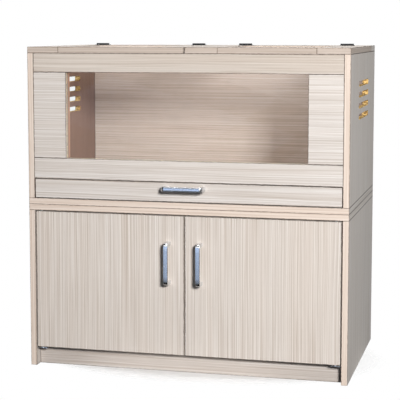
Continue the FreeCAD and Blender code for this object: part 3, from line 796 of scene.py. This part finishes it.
# %% The tree that sets out fasteners
def fastener_tree():
    tree, given, out = geometry_tree("set_out_fasteners", (("Template", "Object"), ("Seed", "Int"),
                                                          ("Loose turn", "Float"), ("Finish", "Material")))
    template = put(tree, "GeometryNodeObjectInfo", {"Object": given["Template"]}).outputs["Geometry"]
    outward = put(tree, "GeometryNodeInputNamedAttribute", {"Name": "outward"},
                  data_type="FLOAT_VECTOR").outputs[0]
    upright = put(tree, "FunctionNodeAlignRotationToVector", {"Vector": outward}, axis="Z").outputs[0]
    angle = put(tree, "FunctionNodeRandomValue", {"Seed": given["Seed"]}, data_type="FLOAT")
    angle.inputs[2].default_value = 0.0
    tree.links.new(given["Loose turn"], angle.inputs[3])
    set_turn = put(tree, "GeometryNodeInputNamedAttribute", {"Name": "turn"}, data_type="FLOAT").outputs[0]
    whole = total(tree, angle.outputs[1], set_turn)
    turn = put(tree, "ShaderNodeCombineXYZ", {"Z": whole}).outputs[0]
    turn = put(tree, "FunctionNodeEulerToRotation", {0: turn}).outputs[0]
    rotation = put(tree, "FunctionNodeRotateRotation", {0: upright, 1: turn},
                   rotation_space="LOCAL").outputs[0]
    placed = put(tree, "GeometryNodeInstanceOnPoints", {"Points": given["Geometry"], "Instance": template,
                                                       "Rotation": rotation}).outputs[0]
    real = put(tree, "GeometryNodeRealizeInstances", {0: placed}).outputs[0]
    painted = put(tree, "GeometryNodeSetMaterial", {"Geometry": real, "Material": given["Finish"]}).outputs[0]
    tree.links.new(painted, out["Geometry"])
    return tree


set_out_fasteners = fastener_tree()


# %% Turned heads with a cross recess
def turned(name, profile, segments=28):
    """A solid of revolution about Z from (radius, height) points, the first and last on the axis."""
    shape = bmesh.new()
    rings = []
    for radius, height in profile:
        if radius == 0:
            rings.append([shape.verts.new((0, 0, height))])
            continue
        angles = [2 * math.pi * i / segments for i in range(segments)]
        rings.append([shape.verts.new((radius * math.cos(a), radius * math.sin(a), height)) for a in angles])
    for lower, upper in zip(rings, rings[1:]):
        for i in range(segments):
            j = (i + 1) % segments
            corners = [ring[k % len(ring)] for ring, k in ((lower, i), (lower, j), (upper, j), (upper, i))]
            shape.faces.new(list(dict.fromkeys(corners)))
    bmesh.ops.recalc_face_normals(shape, faces=shape.faces)
    return from_shape(name, shape)


def cross_cutter(name, reach, width, top, depth):
    """Two crossed bars that narrow downwards, to be cut out of a head."""
    shape = bmesh.new()
    for turn in (0, math.pi / 2):
        bar = bmesh.ops.create_cube(shape, size=1.0)["verts"]
        for vertex in bar:
            narrow = 1.0 if vertex.co.z > 0 else 0.55
            vertex.co.x *= 2 * reach * narrow
            vertex.co.y *= width * narrow
            vertex.co.z = top + depth if vertex.co.z > 0 else top - depth
        bmesh.ops.rotate(shape, cent=(0, 0, 0), matrix=Matrix.Rotation(turn, 3, "Z"), verts=bar)
    return from_shape(name, shape)


def cross_headed(name, profile, reach, width, depth):
    """A turned template with a cross recess in its top."""
    body = turned(name, profile)
    top = max(height for _, height in profile)
    cutter = cross_cutter(name + "_cutter", reach, width, top, depth)
    cut = body.modifiers.new("recess", "BOOLEAN")
    cut.object = cutter
    cut.operation = "DIFFERENCE"
    cut.use_self = True
    bake(body)
    bpy.data.objects.remove(cutter)
    return body


HEAD_PROFILE = [(1, 0), (1, 0.35), (0.93, 0.68), (0.78, 0.90), (0.52, 1), (0, 1)]


def pan_head(name, head_radius, head, shank_radius, length):
    """A pan-head screw with its seat at height 0, the head above and the shank below."""
    tip = [(0, -length), (0.35 * shank_radius, shank_radius - length)]
    shank = [(shank_radius, 3 * shank_radius - length), (shank_radius, 0)]
    crown = [(across * head_radius, up * head) for across, up in HEAD_PROFILE]
    profile = tip + shank + crown
    return cross_headed(name, profile, 0.58 * head_radius, 0.26 * head_radius, 0.62 * head)


# %% Set out the screws
def screw_points(node, head_size):
    """For each screw, the middle of the seat under its head and the direction the head points to."""
    seats, outward = [], []
    for low, high, points in islands(node):
        size = high - low
        axis = max(range(3), key=lambda a: size[a])
        middle = (low + high) / 2
        reach = {end: max((p - middle).length for p in points if abs(p[axis] - end) < 0.05 * MM)
                 for end in (low[axis], high[axis])}
        head_end = max(reach, key=reach.get)
        sign = 1.0 if head_end == high[axis] else -1.0
        seat = middle.copy()
        seat[axis] = head_end - sign * head_size
        seats.append(seat)
        outward.append(Vector([sign if a == axis else 0.0 for a in range(3)]))
    return seats, outward


def set_out(node, template, seats, outward, seed, material, turns=(), loose=math.pi / 2):
    values = {"Template": template, "Seed": seed, "Loose turn": loose, "Finish": material}
    made = grow(node + "_finished", set_out_fasteners, seats, values, outward, turns)
    round_off(made, 35)
    stand_for(made, node)
    return made


small_screw = pan_head("small_screw", 2.7 * MM, 1.4 * MM, 1.5 * MM, 13.0 * MM)
handle_screw = pan_head("handle_screw", 4.0 * MM, 2.4 * MM, 2.0 * MM, 25.0 * MM)
joining_screw = pan_head("joining_screw", 4.0 * MM, 2.4 * MM, 2.0 * MM, 27.0 * MM)
screw_rows = [
    ("small_screws", small_screw, 1.4, 3, bright_zinc),
    ("left_lid_hinge_screws", small_screw, 1.4, 5, lacquer),
    ("right_lid_hinge_screws", small_screw, 1.4, 8, lacquer),
    ("joining_screws", joining_screw, 2.4, 13, bright_zinc),
    ("left_door_handle_screws", handle_screw, 2.4, 21, bright_zinc),
    ("right_door_handle_screws", handle_screw, 2.4, 22, bright_zinc),
    ("drawer_handle_screws", handle_screw, 2.4, 23, bright_zinc),
]
for node, template, head, seed, metal in screw_rows:
    seats, outward = screw_points(node, head * MM)
    set_out(node, template, seats, outward, seed, metal)

# %% [markdown]
# ## Cam fittings
# A cam disc and the bolt it pulls on are two solids that touch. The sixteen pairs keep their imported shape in
# one piece, the only one with no material of its own.

# %% Cam fittings
fittings = merged_copy("cam_fittings", "cam_fittings_finished")
stand_for(fittings, "cam_fittings")
print("cam fittings", len(islands("cam_fittings")), "faces", len(fittings.data.polygons))

# %% [markdown]
# ## Welded mesh and staples
# Each lid has a sheet of welded mesh under its opening: round wires one way, and round wires the other way
# lying on them, melted together where they cross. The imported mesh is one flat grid, which is enough for its
# weight and size. Here a second Geometry Nodes tree lays both sets of wires: a line of points, a straight
# wire with a round section on each point, and the same again turned a quarter. Staples hold the sheet to the
# frame. Their packed boxes give the places, and a bent round wire takes each box's place.

# %% The tree that lays the wires
def times(tree, vector, factor):
    return put(tree, "ShaderNodeVectorMath", {0: vector, "Scale": factor}, operation="SCALE").outputs[0]


def sum_of(tree, first, second):
    return put(tree, "ShaderNodeVectorMath", {0: first, 1: second}, operation="ADD").outputs[0]


def wire_tree():
    tree, given, out = geometry_tree("lay_wires", (
        ("Corner", "Vector"), ("Columns", "Int"), ("Rows", "Int"), ("Pitch", "Float"), ("Wire", "Float"),
        ("Finish", "Material")))
    section = put(tree, "GeometryNodeCurvePrimitiveCircle", {"Resolution": 6,
                                                             "Radius": given["Wire"]}).outputs[0]
    sheets = []
    for direction, count, other in (((1, 0, 0), "Rows", "Columns"), ((0, 1, 0), "Columns", "Rows")):
        across = (0, 1, 0) if direction[0] else (1, 0, 0)
        step = times(tree, across, given["Pitch"])
        wires = total(tree, given[count], 1.0)
        lift = worked_out(tree, "MULTIPLY", given["Wire"], 0.9 if direction[0] else -0.9)
        lifted = put(tree, "ShaderNodeCombineXYZ", {"Z": lift}).outputs[0]
        start = sum_of(tree, given["Corner"], lifted)
        line = {"Count": wires, "Start Location": start, "Offset": step}
        row = put(tree, "GeometryNodeMeshLine", line).outputs[0]
        length = worked_out(tree, "MULTIPLY", given[other], given["Pitch"])
        overhang = times(tree, direction, given["Wire"])
        end = sum_of(tree, times(tree, direction, length), overhang)
        begin = times(tree, overhang, -1.0)
        line = put(tree, "GeometryNodeCurvePrimitiveLine", {"Start": begin, "End": end}).outputs[0]
        wire = put(tree, "GeometryNodeCurveToMesh", {"Curve": line, "Profile Curve": section,
                                                     "Fill Caps": True}).outputs[0]
        sheets.append(put(tree, "GeometryNodeInstanceOnPoints", {"Points": row, "Instance": wire}).outputs[0])
    joined = tree.nodes.new("GeometryNodeJoinGeometry")
    for sheet in sheets:
        tree.links.new(sheet, joined.inputs[0])
    real = put(tree, "GeometryNodeRealizeInstances", {0: joined.outputs[0]}).outputs[0]
    painted = put(tree, "GeometryNodeSetMaterial", {"Geometry": real, "Material": given["Finish"]}).outputs[0]
    tree.links.new(painted, out["Geometry"])
    return tree


lay_wires = wire_tree()
PITCH, WIRE = 12.0 * MM, 0.5 * MM
for side in ("left", "right"):
    node = side + "_lid_mesh"
    low, high = (Vector(corner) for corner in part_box(node))
    columns, rows = round((high.x - low.x) / PITCH), round((high.y - low.y) / PITCH)
    corner = (low.x + (high.x - low.x - columns * PITCH) / 2, low.y + (high.y - low.y - rows * PITCH) / 2,
              high.z - 1.9 * WIRE)
    values = {"Corner": corner, "Columns": columns, "Rows": rows, "Pitch": PITCH, "Wire": WIRE,
              "Finish": wire_zinc}
    sheet = grow(node + "_wires", lay_wires, [(0, 0, 0)], values)
    round_off(sheet, 65)
    stand_for(sheet, node)


# %% Staples
def bent_wire(name, path, radius, sides=6):
    """A round wire along a path of points in the XZ plane, mitred at its bends."""
    shape = bmesh.new()
    rings = []
    for i, point in enumerate(path):
        before, after = path[max(i - 1, 0)], path[min(i + 1, len(path) - 1)]
        coming, going = Vector(point) - Vector(before), Vector(after) - Vector(point)
        first = coming.normalized() if i else going.normalized()
        last = going.normalized() if i < len(path) - 1 else first
        normal = Vector((first.x + last.x, first.y + last.y)).normalized()
        widen = 1.0 / max(normal.dot(first), 0.3)
        ring = []
        for k in range(sides):
            turn = 2 * math.pi * k / sides
            out, side = radius * math.cos(turn) * widen, radius * math.sin(turn)
            ring.append(shape.verts.new((point[0] - normal.y * out, side, point[1] + normal.x * out)))
        rings.append(ring)
    skin(shape, rings)
    return from_shape(name, shape)


HALF_CROWN, STAPLE_WIRE, STAPLE_BEND = 4.6 * MM, 0.4 * MM, 1.0 * MM
first_staple = islands("left_lid_staples")[0]
leg = first_staple[1].z - first_staple[0].z - STAPLE_WIRE
cut = 0.3 * STAPLE_BEND
half_path = [(HALF_CROWN - STAPLE_BEND, 0), (HALF_CROWN - cut, cut), (HALF_CROWN, STAPLE_BEND)]
half_path.append((HALF_CROWN, leg))
staple_path = [(-x, z) for x, z in reversed(half_path)] + half_path
staple_template = bent_wire("staple", staple_path, STAPLE_WIRE)
for side in ("left", "right"):
    node = side + "_lid_staples"
    seats, turns = [], []
    for low, high, _ in islands(node):
        seats.append(((low.x + high.x) / 2, (low.y + high.y) / 2, low.z + STAPLE_WIRE))
        turns.append(0.0 if high.x - low.x > high.y - low.y else math.pi / 2)
    set_out(node, staple_template, seats, [(0, 0, 1)] * len(seats), 41, bright_zinc, turns, loose=0.0)

# %% [markdown]
# ## Stage
# A pale floor fades out close round the object, so that neither a horizon nor a long shadow cuts the
# picture. The fade follows an ellipse, wider from left to right than from front to back, as the cage is.

# %% Floor
FLOOR_RADIUS = 0.8
FADE_WIDTH, FADE_DEPTH = 0.46, 0.30
FADE_FROM, FADE_TO = 0.78, 1.02


def floor_material():
    material, tree, shader = start_material("pale_floor", 0.85, specular=0.1)
    place = object_place(tree)
    cloud = noise(tree, place, 3.0, 2.0)
    grey = ramp(tree, cloud, [(0.3, (0.90, 0.90, 0.90)), (0.7, (0.93, 0.93, 0.93))])
    tree.links.new(grey, shader.inputs["Base Color"])
    around = stretched(tree, place, (1 / FADE_WIDTH, 1 / FADE_DEPTH, 1.0))
    reach = put(tree, "ShaderNodeVectorMath", {0: around}, operation="LENGTH").outputs["Value"]
    tree.links.new(span(tree, reach, FADE_FROM, FADE_TO, 1.0, 0.0), shader.inputs["Alpha"])
    return material


disc = bmesh.new()
bmesh.ops.create_circle(disc, cap_ends=True, segments=96, radius=FLOOR_RADIUS)
floor = from_shape("floor", disc, floor_material())
floor.visible_glossy = False
floor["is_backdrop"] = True
print("floor radius", FLOOR_RADIUS)

# %% [markdown]
# ## Light
# One soft lamp in front and to the right does most of the work: it leaves the right side in half shade and
# throws the handles' shadows to the left. A box overhead lights the floor and the lids, a cool lamp fills
# the right side, and one behind keeps the back from going black. Two softboxes in front show only as
# reflections: bright metal mirrors what is round it, and without them the handles would be black. They add no
# plain light, so the shadows stay dark. A small warm lamp under the front's top rail stands for the light
# that comes in through the lids. The surroundings give a little fill, darker above and below, and look white
# to the camera.

# %% Lamps
def lamp(name, location, toward, size, watts, colour=(1, 1, 1)):
    """A square or oblong lamp at a place, facing a direction."""
    data = bpy.data.lights.new(name, "AREA")
    data.shape = "RECTANGLE"
    data.size, data.size_y = size
    data.energy = watts
    data.color = colour
    made = linked(name, data)
    made.location = location
    made.rotation_euler = Vector(toward).to_track_quat("-Z", "Y").to_euler()
    made.visible_camera = False
    return made


def heading(azimuth, elevation):
    """A direction from the object: azimuth 0 is the front, and positive is to the right."""
    a, e = math.radians(azimuth), math.radians(elevation)
    return Vector((math.sin(a) * math.cos(e), -math.cos(a) * math.cos(e), math.sin(e)))


MIDDLE = Vector((0, 0, 0.4))
KEY_WATTS, OVERHEAD_WATTS, BACK_WATTS, RIGHT_WATTS, INSIDE_WATTS = 254.0, 75.0, 80.0, 19.0, 2.5
LOW_WATTS, HIGH_WATTS = 9.0, 20.0


def lamp_round(name, azimuth, elevation, distance, size, watts, colour=(1, 1, 1)):
    """A lamp at a heading and a distance from the object's middle, facing it."""
    away = heading(azimuth, elevation)
    return lamp(name, MIDDLE + away * distance, -away, size, watts, colour)


lamp_round("key", 27, 18, 4.5, (0.7, 0.7), KEY_WATTS)
lamp("overhead", (0, 0.1, 3.4), (0, 0, -1), (1.4, 1.4), OVERHEAD_WATTS)
back_fill = lamp_round("back_fill", 212, 20, 3.5, (1.8, 1.8), BACK_WATTS, (0.97, 0.98, 1.0))
back_fill.visible_glossy = False
low_softbox = lamp_round("low_softbox", -14, -3, 3.0, (2.6, 1.0), LOW_WATTS, (0.55, 0.71, 1.0))
high_softbox = lamp_round("high_softbox", -10, 30, 3.0, (2.6, 1.5), HIGH_WATTS)
for softbox in (low_softbox, high_softbox):
    softbox.visible_diffuse = False
lamp_round("right_fill", 100, 14, 3.0, (1.4, 1.4), RIGHT_WATTS, (0.80, 0.91, 1.0))
under_rail = (0, front_y + 0.05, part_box("front_top_rail")[1][2] - 0.025)
lamp("inside", under_rail, (0, 1, -0.35), (0.62, 0.03), INSIDE_WATTS, (1.0, 0.96, 0.92))

# %% Surroundings
FILL_STRENGTH = 0.22
world = bpy.data.worlds.new("studio")
bpy.context.scene.world = world
world.use_nodes = True
air = world.node_tree
direction = put(air, "ShaderNodeTexCoord").outputs["Generated"]
height = put(air, "ShaderNodeSeparateXYZ", {0: direction}).outputs["Z"]
level = ramp(air, span(air, height, -1.0, 1.0, 0.0, 1.0),
             [(0.18, (0.05, 0.05, 0.05)), (0.30, (0.42, 0.42, 0.42)),
              (0.48, (0.55, 0.55, 0.55)), (0.53, (0.13, 0.13, 0.135))])
fill = air.nodes["Background"]
air.links.new(level, fill.inputs["Color"])
fill.inputs["Strength"].default_value = FILL_STRENGTH
seen = put(air, "ShaderNodeBackground", {"Color": (1, 1, 1, 1), "Strength": 1.0})
rays = put(air, "ShaderNodeLightPath").outputs["Is Camera Ray"]
sky = put(air, "ShaderNodeMixShader", {0: rays, 1: fill.outputs[0], 2: seen.outputs[0]})
air.links.new(sky.outputs[0], material_output(air))
bpy.context.scene.view_settings.view_transform = "Standard"

# %% [markdown]
# ## Finish
# The turned templates have done their work and go. The finished model's box is printed.

# %% Remove the templates and finish
for template in (small_screw, handle_screw, joining_screw, staple_template):
    bpy.data.objects.remove(template)
low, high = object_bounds()
print("visual box", [round(v, 4) for v in high - low])
